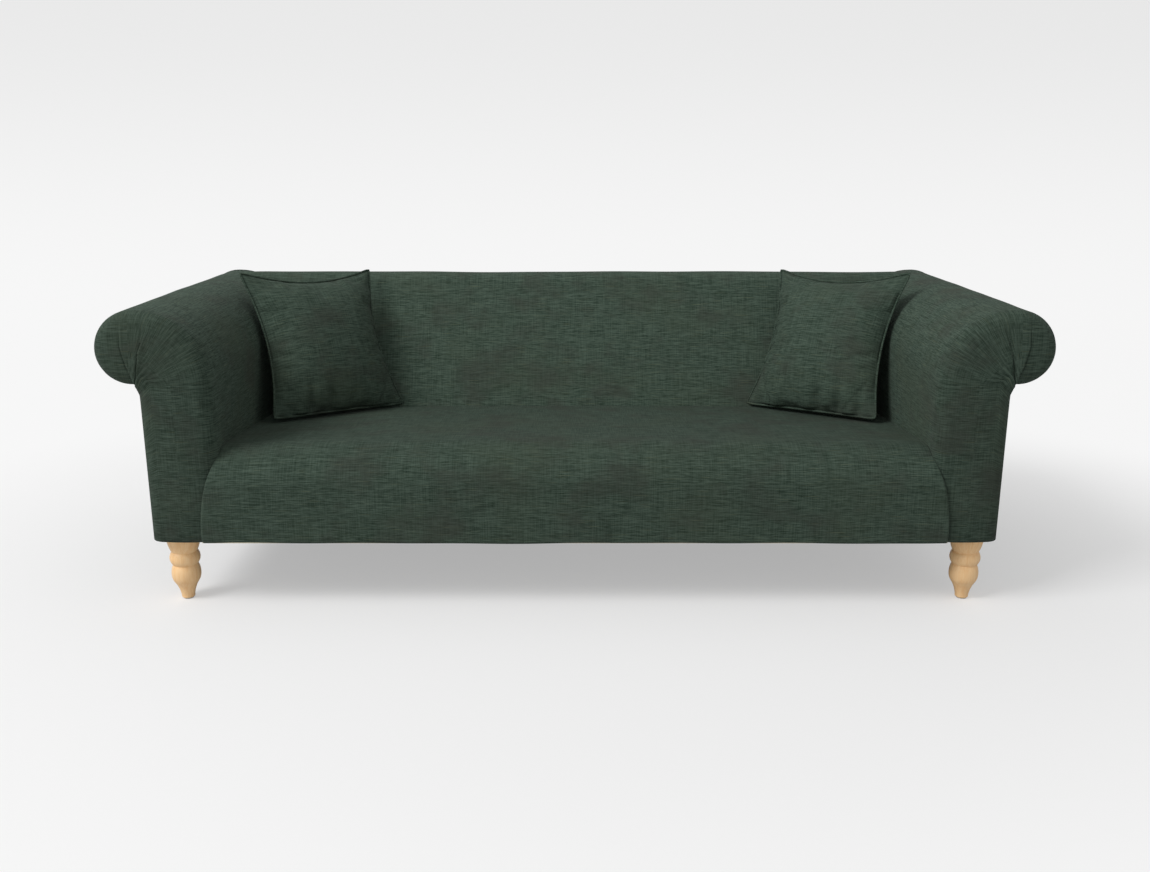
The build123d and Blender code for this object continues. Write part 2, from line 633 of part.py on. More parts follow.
def cushion_outline(half, draw, rest_draw, corner):
    """Square outline with drawn-in sides, standing on its lower edge."""
    middle = CUSHION_SIZE / 2
    low, high = middle - half, middle + half
    with BuildLine() as sides:
        ThreePointArc((-half, low), (0, low + rest_draw), (half, low))
        ThreePointArc((half, low), (half - draw, middle), (half, high))
        ThreePointArc((half, high), (0, high - draw), (-half, high))
        ThreePointArc((-half, high), (draw - half, middle), (-half, low))
    outline = make_face(sides.edges())
    fillet(outline.vertices(), corner)


def cushion_half(inset, crown):
    """Front or rear half of the cushion, crowned from its seam to its middle."""
    deep = abs(crown) - inset
    side = 1 if crown > 0 else -1
    wide = CUSHION_SIZE / 2 - inset
    with BuildPart() as half_form:
        for level in CUSHION_LEVELS:
            reach = wide * sqrt(1 - level ** 1.25)
            bulge = 0.2 * reach * level
            draw = CUSHION_DRAW * (1 - level) - bulge
            rest_draw = CUSHION_REST_DRAW * (1 - level) - bulge
            with BuildSketch(cushion_plane(side * deep * level)):
                cushion_outline(reach, draw, rest_draw, CUSHION_CORNER)
        loft()
    return half_form.part


def cushion_form(inset):
    front_half = cushion_half(inset, CUSHION_FRONT_CROWN)
    rear_half = cushion_half(inset, -CUSHION_REAR_CROWN)
    with BuildPart() as form:
        add(front_half)
        add(rear_half)
    return form.part


cushion_skin = cushion_form(0.0)
cushion_hollow = cushion_form(CUSHION_COVER)
with BuildPart() as cushion_cover:
    add(cushion_skin)
    add(cushion_hollow, mode=Mode.SUBTRACT)
save_pair(cushion_cover.part, "cushion_cover")

cushion_fill = cushion_form(CUSHION_COVER + PLAY)
with BuildPart() as cushion_pad:
    add(cushion_fill)
save_pair(cushion_pad.part, "cushion_pad")

PIPE_OUT = PIPE_RADIUS + 3 * PLAY
with BuildPart() as cushion_piping:
    with BuildSketch(cushion_plane(0.0), mode=Mode.PRIVATE) as seam_line:
        cushion_outline(CUSHION_SIZE / 2, CUSHION_DRAW, CUSHION_REST_DRAW, CUSHION_CORNER)
        offset(amount=PIPE_OUT)
    seam_wire = seam_line.sketch.faces()[0].outer_wire()
    with BuildSketch(Plane(origin=seam_wire @ 0, z_dir=seam_wire % 0)):
        Circle(PIPE_RADIUS)
    sweep(path=seam_wire)
save_pair(cushion_piping.part, "cushion_piping")
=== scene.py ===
import json
from math import atan, atan2, cos, pi, radians, sin, tan

import bpy
import numpy as np
from mathutils import Matrix, Vector


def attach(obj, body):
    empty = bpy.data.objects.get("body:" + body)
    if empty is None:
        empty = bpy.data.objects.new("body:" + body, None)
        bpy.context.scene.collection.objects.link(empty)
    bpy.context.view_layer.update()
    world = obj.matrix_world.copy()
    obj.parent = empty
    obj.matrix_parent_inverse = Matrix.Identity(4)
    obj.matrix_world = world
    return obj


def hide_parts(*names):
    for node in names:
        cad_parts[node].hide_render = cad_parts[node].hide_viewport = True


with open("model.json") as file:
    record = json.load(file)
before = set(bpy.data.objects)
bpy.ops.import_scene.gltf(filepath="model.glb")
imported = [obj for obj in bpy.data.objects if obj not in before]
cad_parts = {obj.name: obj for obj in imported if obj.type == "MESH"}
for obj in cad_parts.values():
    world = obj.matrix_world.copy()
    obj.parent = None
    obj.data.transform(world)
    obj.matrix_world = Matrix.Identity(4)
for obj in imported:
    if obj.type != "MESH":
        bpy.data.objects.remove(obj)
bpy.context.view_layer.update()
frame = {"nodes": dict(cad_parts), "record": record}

# Sizes of the sofa, in metres, in the frame of the solids
BASE = 0.180
FRONT = -0.485
ARM_FRONT = -0.473
UPHOLSTERY_REAR = 0.482
REACH = 1.200
ARM_OUTER = 1.098
ARM_INNER = 0.915
ARM_TOP = 0.776
SPINE_X = (ARM_INNER + ARM_OUTER) / 2
SCROLL_RADIUS = 0.099
SCROLL_X = REACH - SCROLL_RADIUS
SCROLL_Z = ARM_TOP - SCROLL_RADIUS
SHOULDER_RADIUS = 0.180
SHOULDER_X = ARM_INNER + SHOULDER_RADIUS
SHOULDER_Z = ARM_TOP - SHOULDER_RADIUS
TUCK_X = 1.106
TUCK_Z = 0.590
TUCK_FALL = 0.030
ARM_EDGE = 0.040
SEAT_HEIGHT = 0.428
SEAT_REAR_HEIGHT = 0.378
SEAT_CROWN = 0.008
NOSE_RADIUS = 0.100
JUNCTION = 0.192
LIP_REACH = 0.962
LIP_STRAIGHT = 0.200
LIP_CREST = 0.408
BACK_HEIGHT = 0.774
BACK_TOP_DEPTH = 0.097
BACK_EDGE = 0.050
BACK_FOOT = 0.345
SEAT_FALL = (SEAT_HEIGHT - SEAT_REAR_HEIGHT) / (JUNCTION - FRONT)
SEAT_PITCH = atan(SEAT_FALL)
BACK_RAKE = atan((UPHOLSTERY_REAR - JUNCTION - BACK_TOP_DEPTH) / (BACK_HEIGHT - SEAT_REAR_HEIGHT))

# Cloth, its seams and the unevenness of the padding
PROUD = 0.001
CLOTH = 0.0015
SEAM_GAP = 0.0005
CREASE = 0.008
SEAM_CREASE = 0.0026
BACK_CREASE = 0.0035
BACK_CREASE_SHARE = 0.8
SEAM_HOLD = 0.070
SEAT_TUCK = 0.004
BACK_TURN = 0.024
EDGE_RETURN = 0.022
EDGE_BAND = 1.1 * CREASE
HEM = 0.006
# Depth behind the arms' front edge over which the cloth's painted light and shade change from the front
# level to the rear level
PAINTED_LIGHT_RAMP = 0.060
ARM_LUMPS = 0.0012
ARM_LUMPS_FROM = 0.62
SEAT_LUMPS = 0.0025
BACK_LUMPS = 0.002
SIDE_SIGN = {"left": -1.0, "right": 1.0}


# Shader values as Python expressions
class Value:
    """A number that varies over a surface; signs between values add Math nodes."""

    def __init__(self, shade, socket):
        self.shade = shade
        self.socket = socket

    def math(self, operation, *others):
        sockets = {0: self}
        for index, other in enumerate(others):
            sockets[index + 1] = other
        return self.shade.node("ShaderNodeMath", {"operation": operation}, sockets).value()

    def __add__(self, other):
        return self.math("ADD", other)

    __radd__ = __add__

    def __mul__(self, other):
        return self.math("MULTIPLY", other)

    __rmul__ = __mul__

    def step(self, low, high):
        settings = {"interpolation_type": "SMOOTHSTEP"}
        return self.shade.node("ShaderNodeMapRange", settings, {0: self, 1: low, 2: high}).value()


class Outputs:
    """The outputs of a node that was just added."""

    def __init__(self, shade, node):
        self.shade = shade
        self.outputs = node.outputs

    def value(self, name=0):
        return Value(self.shade, self.outputs[name])


class Shade:
    """A procedural material with one main shader."""

    def __init__(self, name, **constants):
        self.material = bpy.data.materials.new(name)
        self.material.use_nodes = True
        self.tree = self.material.node_tree
        self.main = self.tree.nodes["Principled BSDF"]
        for socket, constant in constants.items():
            self.main.inputs[socket.replace("_", " ")].default_value = constant

    def node(self, kind, settings=None, sockets=None):
        node = self.tree.nodes.new(kind)
        for setting, choice in (settings or {}).items():
            setattr(node, setting, choice)
        for socket, content in (sockets or {}).items():
            if isinstance(content, Value):
                self.tree.links.new(content.socket, node.inputs[socket])
            else:
                node.inputs[socket].default_value = content
        return Outputs(self, node)

    def feed(self, socket, value):
        self.tree.links.new(value.socket, self.main.inputs[socket])

    def object_axes(self):
        place = self.node("ShaderNodeTexCoord").value("Object")
        split = self.node("ShaderNodeSeparateXYZ", None, {0: place})
        return [split.value(axis) for axis in ("X", "Y", "Z")]

    def weave_axes(self):
        place = self.node("ShaderNodeUVMap", {"uv_map": "weave"}).value("UV")
        split = self.node("ShaderNodeSeparateXYZ", None, {0: place})
        return [split.value("X"), split.value("Y")]

    def noise(self, x, y, z, detail=2.0, rough=0.5):
        place = self.node("ShaderNodeCombineXYZ", None, {0: x, 1: y, 2: z}).value()
        sockets = {"Vector": place, "Scale": 1.0, "Detail": detail, "Roughness": rough}
        return self.node("ShaderNodeTexNoise", None, sockets).value(0)

    def mix(self, factor, first, second, blend="MIX"):
        settings = {"data_type": "RGBA", "blend_type": blend}
        sockets = {0: factor}
        for index, colour in ((6, first), (7, second)):
            sockets[index] = colour if isinstance(colour, Value) else (*colour, 1.0)
        return self.node("ShaderNodeMix", settings, sockets).value(2)

    def bump(self, height, strength, distance):
        sockets = {"Height": height, "Strength": strength, "Distance": distance}
        self.feed("Normal", self.node("ShaderNodeBump", None, sockets).value())


# Finishes; noise is given in cells per metre
WEFT = (20.0, 620.0)
WARP = (520.0, 12.0)
SLUB = (55.0, 480.0)
YARN = (560.0, 800.0)
FLECK = (14.0, 480.0)
DEEP_GREEN = (0.009, 0.020, 0.012)
PALE_GREEN = (0.086, 0.123, 0.095)
OLIVE = (0.056, 0.072, 0.047)
BROWN = (0.042, 0.046, 0.037)
STRAW = (0.130, 0.148, 0.088)


def woven_cloth(name, axes, front_painted_light=1.0, rear_painted_light=1.0):
    """Dark green cloth with slubbed weft threads, a fine warp and mottled tone; its colour is scaled by
    painted light and shade, one level in front of the arms' front edge and another behind it.
    """
    shade = Shade(name, Roughness=0.9, Sheen_Weight=0.02, Sheen_Roughness=0.5, Specular_IOR_Level=0.12)
    u, v = axes(shade)
    x, y, z = shade.object_axes()

    def thread(cells, seed, detail):
        return shade.noise(u * cells[0], v * cells[1], seed, detail)

    weft = thread(WEFT, 0.3, 2.0)
    warp = thread(WARP, 9.1, 2.0)
    slub = thread(SLUB, 4.7, 2.0)
    yarn = thread(YARN, 15.0, 1.0)
    flecks = thread(FLECK, 21.0, 1.0)
    patches = shade.noise(x * 7.0, y * 7.0, z * 9.0, 3.0, 0.6)
    drift = shade.noise(x * 4.0 + 30.0, y * 4.0, z * 5.0, 2.0)
    threads = 0.38 * weft.step(0.36, 0.64) + 0.20 * warp.step(0.36, 0.64)
    depth = threads + 0.28 * slub.step(0.36, 0.64) + 0.14 * yarn.step(0.3, 0.7)
    cloth = shade.mix(depth, DEEP_GREEN, PALE_GREEN)
    cloth = shade.mix(drift.step(0.45, 0.75) * 0.30, cloth, OLIVE)
    cloth = shade.mix(patches.step(0.46, 0.72) * 0.50, cloth, BROWN)
    cloth = shade.mix(flecks.step(0.64, 0.76) * 0.45, cloth, STRAW)
    # Painted light and shade: the cloth colour is scaled darker or lighter, one level in front of the arms'
    # front edge and another behind it, for how the light falls on each part
    painted_light_level = shade.mix(y.step(ARM_FRONT, ARM_FRONT + PAINTED_LIGHT_RAMP), (front_painted_light,) * 3, (rear_painted_light,) * 3)
    shade.feed("Base Color", shade.mix(1.0, cloth, painted_light_level, "MULTIPLY"))
    shade.bump(0.4 * slub + 0.4 * weft + 0.3 * warp, 0.35, 0.0015)
    return shade.material


def upright_axes(shade):
    """Weft level and warp upright, for cloth without its own measure."""
    x, y, z = shade.object_axes()
    return x, z


def turned_wood():
    """Pale turned wood under clear lacquer, with its grain along the leg."""
    shade = Shade("turned_wood", Coat_Weight=0.15, Coat_Roughness=0.3)
    x, y, z = shade.object_axes()
    drift = shade.noise(x * 9.0, y * 9.0, z * 2.0, 2.0)
    grain = shade.noise(x * 150.0 + drift * 6.0, y * 150.0, z * 7.0, 3.0, 0.6)
    pores = shade.noise(x * 700.0, y * 700.0, z * 25.0, 1.0)
    wood = shade.mix(grain.step(0.3, 0.7), (0.92, 0.57, 0.27), (0.98, 0.67, 0.36))
    wood = shade.mix(pores.step(0.58, 0.75) * 0.20, wood, (0.74, 0.43, 0.20))
    shade.feed("Base Color", wood)
    shade.feed("Roughness", 0.36 + 0.2 * grain)
    shade.bump(pores + 0.5 * grain, 0.08, 0.0006)
    return shade.material


def sawn_wood(name, dark, light, along):
    """Sawn board whose grain runs along one axis."""
    shade = Shade(name)
    axes = shade.object_axes()
    scaled = [axis * (5.0 if index == along else 90.0) for index, axis in enumerate(axes)]
    grain = shade.noise(*scaled, 3.0, 0.6)
    saw = shade.noise(axes[0] * 300.0, axes[1] * 300.0, axes[2] * 300.0, 1.0)
    shade.feed("Base Color", shade.mix(grain.step(0.3, 0.7), dark, light))
    shade.feed("Roughness", 0.6 + 0.25 * saw)
    shade.bump(grain + 0.4 * saw, 0.25, 0.001)
    return shade.material


def fibre(name, dark, light, scale, rough):
    """Foam, felt, wadding, board or non-woven cloth: fine cells or fibres with uneven shade."""
    shade = Shade(name, Specular_IOR_Level=0.15)
    x, y, z = shade.object_axes()
    cells = shade.noise(x * scale, y * scale, z * scale, 3.0, 0.6)
    cloud = shade.noise(x * 12.0, y * 12.0, z * 12.0, 2.0)
    shade.feed("Base Color", shade.mix(0.7 * cells.step(0.3, 0.7) + 0.3 * cloud, dark, light))
    shade.feed("Roughness", rough + 0.1 * cells)
    shade.bump(cells, 0.4, 0.001)
    return shade.material


def webbing_cloth():
    """Elastic webbing with fine ribs and woven stripes."""
    shade = Shade("elastic_webbing", Specular_IOR_Level=0.2)
    x, y, z = shade.object_axes()
    ribs = shade.noise(x * 700.0, y * 20.0, z * 90.0, 1.0)
    stripe = shade.noise(x * 4.0, 0.0, z * 160.0, 0.0)
    shade.feed("Base Color", shade.mix(stripe.step(0.45, 0.6), (0.02, 0.02, 0.022), (0.10, 0.10, 0.11)))
    shade.feed("Roughness", 0.7 + 0.2 * ribs)
    shade.bump(ribs, 0.4, 0.001)
    return shade.material


def spring_steel():
    """Drawn wire with dull spots."""
    shade = Shade("spring_steel", Metallic=1.0)
    x, y, z = shade.object_axes()
    drawn = shade.noise(x * 220.0, y * 220.0, z * 220.0, 2.0)
    dull = shade.noise(x * 30.0, y * 30.0, z * 30.0, 2.0)
    shade.feed("Base Color", shade.mix(dull, (0.30, 0.30, 0.31), (0.55, 0.55, 0.56)))
    shade.feed("Roughness", 0.3 + 0.3 * drawn)
    return shade.material


def glide_plastic():
    """Moulded plastic with scuffs from the floor."""
    shade = Shade("glide_plastic")
    x, y, z = shade.object_axes()
    scuff = shade.noise(x * 260.0, y * 260.0, z * 260.0, 3.0, 0.7)
    shade.feed("Base Color", shade.mix(scuff.step(0.4, 0.75), (0.70, 0.68, 0.63), (0.46, 0.44, 0.40)))
    shade.feed("Roughness", 0.4 + 0.3 * scuff)
    return shade.material


# Modelling helpers
def deselect_all():
    if bpy.context.object and bpy.context.object.mode != "OBJECT":
        bpy.ops.object.mode_set(mode="OBJECT")
    bpy.ops.object.select_all(action="DESELECT")


def take(piece):
    """Selects one piece alone and makes it the active one."""
    deselect_all()
    piece.select_set(True)
    bpy.context.view_layer.objects.active = piece


def read_points(piece):
    points = np.empty(len(piece.data.vertices) * 3)
    piece.data.vertices.foreach_get("co", points)
    return points.reshape(-1, 3)


def move_points(piece, points):
    piece.data.vertices.foreach_set("co", np.ascontiguousarray(points, dtype=np.float32).ravel())
    piece.data.update()


def woven_grid(name, columns, rows):
    """A flat grid and the column and row number of each of its points."""
    deselect_all()
    counts = {"x_subdivisions": columns - 1, "y_subdivisions": rows - 1}
    bpy.ops.mesh.primitive_grid_add(**counts, size=2.0, calc_uvs=True)
    piece = bpy.context.object
    piece.name = name
    piece.data.name = name
    points = read_points(piece)
    column = np.rint((points[:, 0] + 1) / 2 * (columns - 1)).astype(int)
    row = np.rint((points[:, 1] + 1) / 2 * (rows - 1)).astype(int)
    return piece, column, row


def corner_points(piece):
    """The point that each face corner of a piece lies on."""
    corners = np.empty(len(piece.data.loops), dtype=np.int32)
    piece.data.loops.foreach_get("vertex_index", corners)
    return corners


def lay_weave(piece, corner_places):
    """Writes the cloth's own measure, in metres, for each face corner."""
    layer = piece.data.uv_layers[0]
    layer.name = "weave"
    layer.data.foreach_set("uv", np.ascontiguousarray(corner_places, dtype=np.float32).ravel())


def apply_all(piece):
    take(piece)
    for modifier in list(piece.modifiers):
        bpy.ops.object.modifier_apply(modifier=modifier.name)


def thicken(piece, thickness):
    """Gives a cloth skin its thickness, inwards."""
    wall = piece.modifiers.new("wall", "SOLIDIFY")
    wall.thickness = thickness
    wall.offset = -1.0
    apply_all(piece)


def tidy_skin(piece, angle=50.0):
    """Merges doubled points, turns all faces the same way and smooths all but sharp edges."""
    take(piece)
    bpy.ops.object.mode_set(mode="EDIT")
    bpy.ops.mesh.select_all(action="SELECT")
    bpy.ops.mesh.remove_doubles(threshold=0.00002)
    bpy.ops.mesh.normals_make_consistent(inside=False)
    bpy.ops.object.mode_set(mode="OBJECT")
    bpy.ops.object.shade_smooth_by_angle(angle=radians(angle))


def flip(piece):
    take(piece)
    bpy.ops.object.mode_set(mode="EDIT")
    bpy.ops.mesh.select_all(action="SELECT")
    bpy.ops.mesh.flip_normals()
    bpy.ops.object.mode_set(mode="OBJECT")


def face_outwards(piece, inner_point):
    """Turns an open skin round where its faces look towards a point inside it."""
    inside = Vector(inner_point)
    looks = sum((face.center - inside).dot(face.normal) * face.area for face in piece.data.polygons)
    if looks < 0:
        flip(piece)


def fit_cover(piece, places, along, column, row, inner_point):
    """Lays a grid of cloth in place, with its weft across the sofa, and gives it its thickness."""
    points = places[row, column]
    move_points(piece, points)
    corners = corner_points(piece)
    lay_weave(piece, np.stack([points[corners, 0], along[row[corners]]], axis=1))
    tidy_skin(piece)
    face_outwards(piece, inner_point)
    thicken(piece, CLOTH)


def dress(piece, material, body, *nodes):
    """Gives a piece its material and the body it moves with, and hides the solids it stands for."""
    piece.data.materials.clear()
    piece.data.materials.append(material)
    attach(piece, body)
    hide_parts(*nodes)


def lumps(a, b, seed):
    """Slow unevenness of hand-laid padding, between about -1 and 1."""
    return (
        np.sin(a * 11.0 + seed) * np.sin(b * 13.0 + 1.7 * seed)
        + 0.6 * np.sin(a * 23.0 + 2.3 * seed) * np.sin(b * 19.0 + seed)
        + 0.4 * np.sin(a * 41.0 + 0.7 * seed + b * 17.0)
    ) / 2.0


def run(start, end, count):
    """Even steps from start up to, but not including, end."""
    return np.linspace(start, end, count, endpoint=False)


def arc_points(centre, radius, start, end, count):
    turn = np.radians(run(start, end, count))
    return np.stack([centre[0] + radius * np.cos(turn), centre[1] + radius * np.sin(turn)], axis=1)


def line_points(start, end, count):
    share = run(0.0, 1.0, count)[:, None]
    return np.array(start)[None] * (1 - share) + np.array(end)[None] * share


def measure_along(points):
    """Length of a line of points from its start to each of them."""
    steps = np.sqrt((np.diff(points, axis=0) ** 2).sum(1))
    return np.concatenate([[0.0], np.cumsum(steps)])


# Arms
INNER_STEPS = 44
SHOULDER_STEPS = 52
FLAT_STEPS = 2
CROWN_STEPS = 38
UNDER_STEPS = 40
SCROLL_START = INNER_STEPS + SHOULDER_STEPS + FLAT_STEPS
TUCK_START = SCROLL_START + CROWN_STEPS + UNDER_STEPS
ARM_ROWS = 46
TURN_ROWS = 12
FRONT_ROWS = 39
SCROLL_TURN_ROWS = 5
EYE_RISE = 0.004
ARM_BULGE = 0.004
ARM_FALL = 0.0024
ARM_SEED = {"left": 2.0, "right": 5.0}

# Two folds on each arm front, gathered into the tuck below the scroll
FOLDS = (
    ((1.103, 0.605), (1.106, 0.622), (1.112, 0.636), (1.1235, 0.693), (1.120, 0.752)),
    ((1.096, 0.596), (1.090, 0.612), (1.080, 0.670), (1.066, 0.714), (1.050, 0.757)),
)
FOLD_RISE = 0.0060
FOLD_WIDTH = 0.016
GROOVE_DEPTH = 0.0027
GROOVE_WIDTH = 0.0026


def arm_outline(inset):
    """Right arm's outline, drawn in by inset: from the seat over the scroll to the foot of the outside."""
    inner = ARM_INNER + inset
    outer = ARM_OUTER - inset
    reach = REACH - inset
    tuck = (TUCK_X, TUCK_Z + inset)
    wide, high = reach - tuck[0], SCROLL_Z - tuck[1]
    under_radius = (wide**2 + high**2) / (2 * wide)
    under_x = reach - under_radius
    under_end = np.degrees(atan2(tuck[1] - SCROLL_Z, tuck[0] - under_x)) % 360.0 - 360.0
    return np.concatenate([
        line_points((inner, BASE), (inner, SHOULDER_Z), INNER_STEPS),
        arc_points((SHOULDER_X, SHOULDER_Z), SHOULDER_RADIUS - inset, 180.0, 90.0, SHOULDER_STEPS),
        line_points((SHOULDER_X, ARM_TOP - inset), (SCROLL_X, ARM_TOP - inset), FLAT_STEPS),
        arc_points((SCROLL_X, SCROLL_Z), SCROLL_RADIUS - inset, 90.0, 0.0, CROWN_STEPS),
        arc_points((under_x, SCROLL_Z), under_radius, 0.0, under_end, UNDER_STEPS),
        line_points(tuck, (outer, tuck[1] - TUCK_FALL), SHOULDER_STEPS),
        line_points((outer, tuck[1] - TUCK_FALL), (outer, BASE), INNER_STEPS),
        [(outer, BASE)],
    ])


def arm_spine():
    """Middle line of the arm's front face, one point for each point of the outline."""
    low, neck, eye = (SPINE_X, BASE), (SPINE_X, SHOULDER_Z), (SCROLL_X, SCROLL_Z + EYE_RISE)
    return np.concatenate([
        line_points(low, neck, INNER_STEPS),
        line_points(neck, eye, SHOULDER_STEPS),
        np.repeat([eye], FLAT_STEPS + CROWN_STEPS + UNDER_STEPS, axis=0),
        line_points(eye, neck, SHOULDER_STEPS),
        line_points(neck, low, INNER_STEPS),
        [low],
    ])


def fold_height(x, z):
    """How far the folds lift the cloth of the arm front."""
    lift = np.zeros_like(x)
    for fold in FOLDS:
        path = np.array(fold)
        nearest = np.full_like(x, REACH)
        side = np.zeros_like(x)
        along = np.zeros_like(x)
        for index, (start, end) in enumerate(zip(path[:-1], path[1:])):
            run_x, run_z = end - start
            length = run_x**2 + run_z**2
            share = np.clip(((x - start[0]) * run_x + (z - start[1]) * run_z) / length, 0.0, 1.0)
            off_x, off_z = x - start[0] - share * run_x, z - start[1] - share * run_z
            distance = np.hypot(off_x, off_z)
            closer = distance < nearest
            nearest = np.where(closer, distance, nearest)
            side = np.where(closer, run_x * off_z - run_z * off_x, side)
            along = np.where(closer, (index + share) / (len(path) - 1), along)
        fade = np.clip(1.25 - along, 0.0, 1.0) ** 0.8
        ridge = np.where(side > 0, np.exp(-nearest / FOLD_WIDTH), 0.0)
        groove = np.exp(-((nearest / GROOVE_WIDTH) ** 2))
        lift += fade * (FOLD_RISE * ridge - GROOVE_DEPTH * groove)
    return lift


def at_depth(outline, y):
    """A line of points in the plane at depth y."""
    return np.insert(outline, 1, y, axis=1)


def arm_places():
    """Rows of the right arm's cover: along it from the rear, round its front edge and in to the spine."""
    outline = arm_outline(-PROUD)
    rim = arm_outline(ARM_EDGE - PROUD)
    spine = arm_spine()
    rows = []
    along = []
    for y in run(UPHOLSTERY_REAR, ARM_FRONT + ARM_EDGE, ARM_ROWS):
        rows.append(at_depth(outline, y))
        along.append(y)
    for turn in np.linspace(0.0, pi / 2, TURN_ROWS):
        drawn_in = arm_outline(ARM_EDGE * (1 - cos(turn)) - PROUD)
        rows.append(at_depth(drawn_in, ARM_FRONT - PROUD + ARM_EDGE * (1 - sin(turn))))
        along.append(ARM_FRONT + ARM_EDGE - ARM_EDGE * turn)
    for share in np.linspace(0.0, 1.0, FRONT_ROWS + 1)[1:]:
        bulge = ARM_BULGE * sin(share * pi / 2)
        rows.append(at_depth(rim * (1 - share) + spine * share, ARM_FRONT - PROUD - bulge))
        along.append(along[-1])
    return np.array(rows), np.array(along)


def pad_arm(places, seed):
    """Adds the folds of the front, the lumps of the scroll and the slight fall of the arm to the rear."""
    front = np.arange(len(places)) >= ARM_ROWS
    lift = fold_height(places[:, :, 0], places[:, :, 2])
    places[:, :, 1] -= np.where(front[:, None], lift, 0.0)
    soft = lumps(places[:, :, 1] * 0.8, places[:, :, 2], seed)
    places[:, :, 2] += ARM_LUMPS * soft * (places[:, :, 2] > ARM_LUMPS_FROM)
    rearward = np.clip((places[:, :, 1] - ARM_FRONT) / (UPHOLSTERY_REAR - ARM_FRONT), 0.0, 1.0)
    places[:, :, 2] -= ARM_FALL * rearward**2 * (places[:, :, 2] > SCROLL_Z)


def lay_arm_weave(piece, places, along, column, row):
    """Weft along the arm, turning over its front edge and running in towards the scroll."""
    outline = places[0, :, 0:3:2]
    rim_row = int(np.argmin(along))
    inward = np.sqrt(((places - places[rim_row]) ** 2).sum(2))
    inward[:rim_row] = 0.0
    weft = along[:, None] - inward
    girth = np.broadcast_to(measure_along(outline), weft.shape)
    rim = along[rim_row]
    front_width = ARM_OUTER - ARM_INNER - 2 * ARM_EDGE
    outer_weft = 2 * rim - front_width - weft
    outer_girth = np.broadcast_to(outline[:, 1] - BASE, weft.shape)
    inner = np.stack([weft[row, column], girth[row, column]], axis=1)
    outer = np.stack([outer_weft[row, column], outer_girth[row, column]], axis=1)
    upright = np.stack([-places[row, column, 0], places[row, column, 2]], axis=1)
    corners = corner_points(piece)
    first_column = column[corners].reshape(-1, 4).min(axis=1)
    first_row = row[corners].reshape(-1, 4).min(axis=1)
    beyond_tuck = np.repeat(first_column >= TUCK_START, 4)[:, None]
    on_scroll = (first_column >= SCROLL_START) & (first_column < TUCK_START)
    on_scroll &= first_row >= rim_row - SCROLL_TURN_ROWS
    on_scroll = np.repeat(on_scroll, 4)[:, None]
    wrapped = np.where(beyond_tuck, outer[corners], inner[corners])
    lay_weave(piece, np.where(on_scroll, upright[corners], wrapped))


def split_outside(piece, side):
    """Parts the flat outside of the arm from the padded cover."""
    take(piece)
    bpy.ops.object.mode_set(mode="EDIT")
    bpy.ops.mesh.select_mode(type="FACE")
    bpy.ops.mesh.select_all(action="DESELECT")
    bpy.ops.object.mode_set(mode="OBJECT")
    for polygon in piece.data.polygons:
        centre = polygon.center
        behind = centre.y > ARM_FRONT + ARM_EDGE
        polygon.select = behind and abs(centre.x) > SPINE_X and centre.z < TUCK_Z - TUCK_FALL
    bpy.ops.object.mode_set(mode="EDIT")
    bpy.ops.mesh.separate(type="SELECTED")
    bpy.ops.mesh.select_mode(type="VERT")
    bpy.ops.object.mode_set(mode="OBJECT")
    panel = next(o for o in bpy.context.selected_objects if o != piece)
    panel.name = f"outside_arm_{side}_cloth"
    panel.data.name = panel.name
    return panel


def make_arm(side, cloth):
    """Padded arm cover, and the flat panel on the arm's outside."""
    places, along = arm_places()
    rows, columns = places.shape[:2]
    piece, column, row = woven_grid(f"arm_cover_{side}_cloth", columns, rows)
    pad_arm(places, ARM_SEED[side])
    lay_arm_weave(piece, places, along, column, row)
    points = places[row, column]
    points[:, 0] *= SIDE_SIGN[side]
    move_points(piece, points)
    tidy_skin(piece)
    face_outwards(piece, (SIDE_SIGN[side] * SPINE_X, 0.0, 0.5))
    panel = split_outside(piece, side)
    for skin in (piece, panel):
        thicken(skin, CLOTH)
    dress(piece, cloth, "sofa", f"arm_cover_{side}")
    dress(panel, cloth, "sofa", f"outside_arm_{side}")


# Seat
SEAT_STAGES = (("hem", 6), ("front", 34), ("nose", 26), ("top", 64), ("tail", 5))
SEAT_END = JUNCTION + SEAT_TUCK
NOSE_END = FRONT + NOSE_RADIUS * (1 + sin(SEAT_PITCH))
NOSE_DROP = NOSE_RADIUS / tan((pi / 2 - SEAT_PITCH) / 2)
TAIL_RUN = 0.003
TAIL_DROP = 0.030
COVER_COLUMNS = 150
EDGE_COLUMNS = 9


def lip_reach(z):
    """Half width of the seat front at height z: upright low down, then leaning in to the arms."""
    lean_x, lean_z = LIP_REACH - (ARM_INNER - SEAM_GAP), LIP_CREST - LIP_STRAIGHT
    radius = (lean_x**2 + lean_z**2) / (2 * lean_x)
    rise = np.clip(z - LIP_STRAIGHT, 0.0, lean_z)
    return LIP_REACH - (radius - np.sqrt(radius**2 - rise**2))


def crease_drop(gap, radius):
    """How far a padded edge has turned away at a distance from its seam."""
    left = np.clip(radius - gap, 0.0, radius)
    return radius - np.sqrt(np.maximum(radius**2 - left**2, 0.0))


def dense_ends(edge):
    """Shares from -1 to 1 across a cover that lie close together within edge of both ends."""
    rim = 1 - edge * (1 - np.sin(np.linspace(0.0, pi / 2, EDGE_COLUMNS)))
    inner = np.linspace(-(1 - edge), 1 - edge, COVER_COLUMNS)[1:-1]
    return np.concatenate([-rim[::-1], inner, rim])


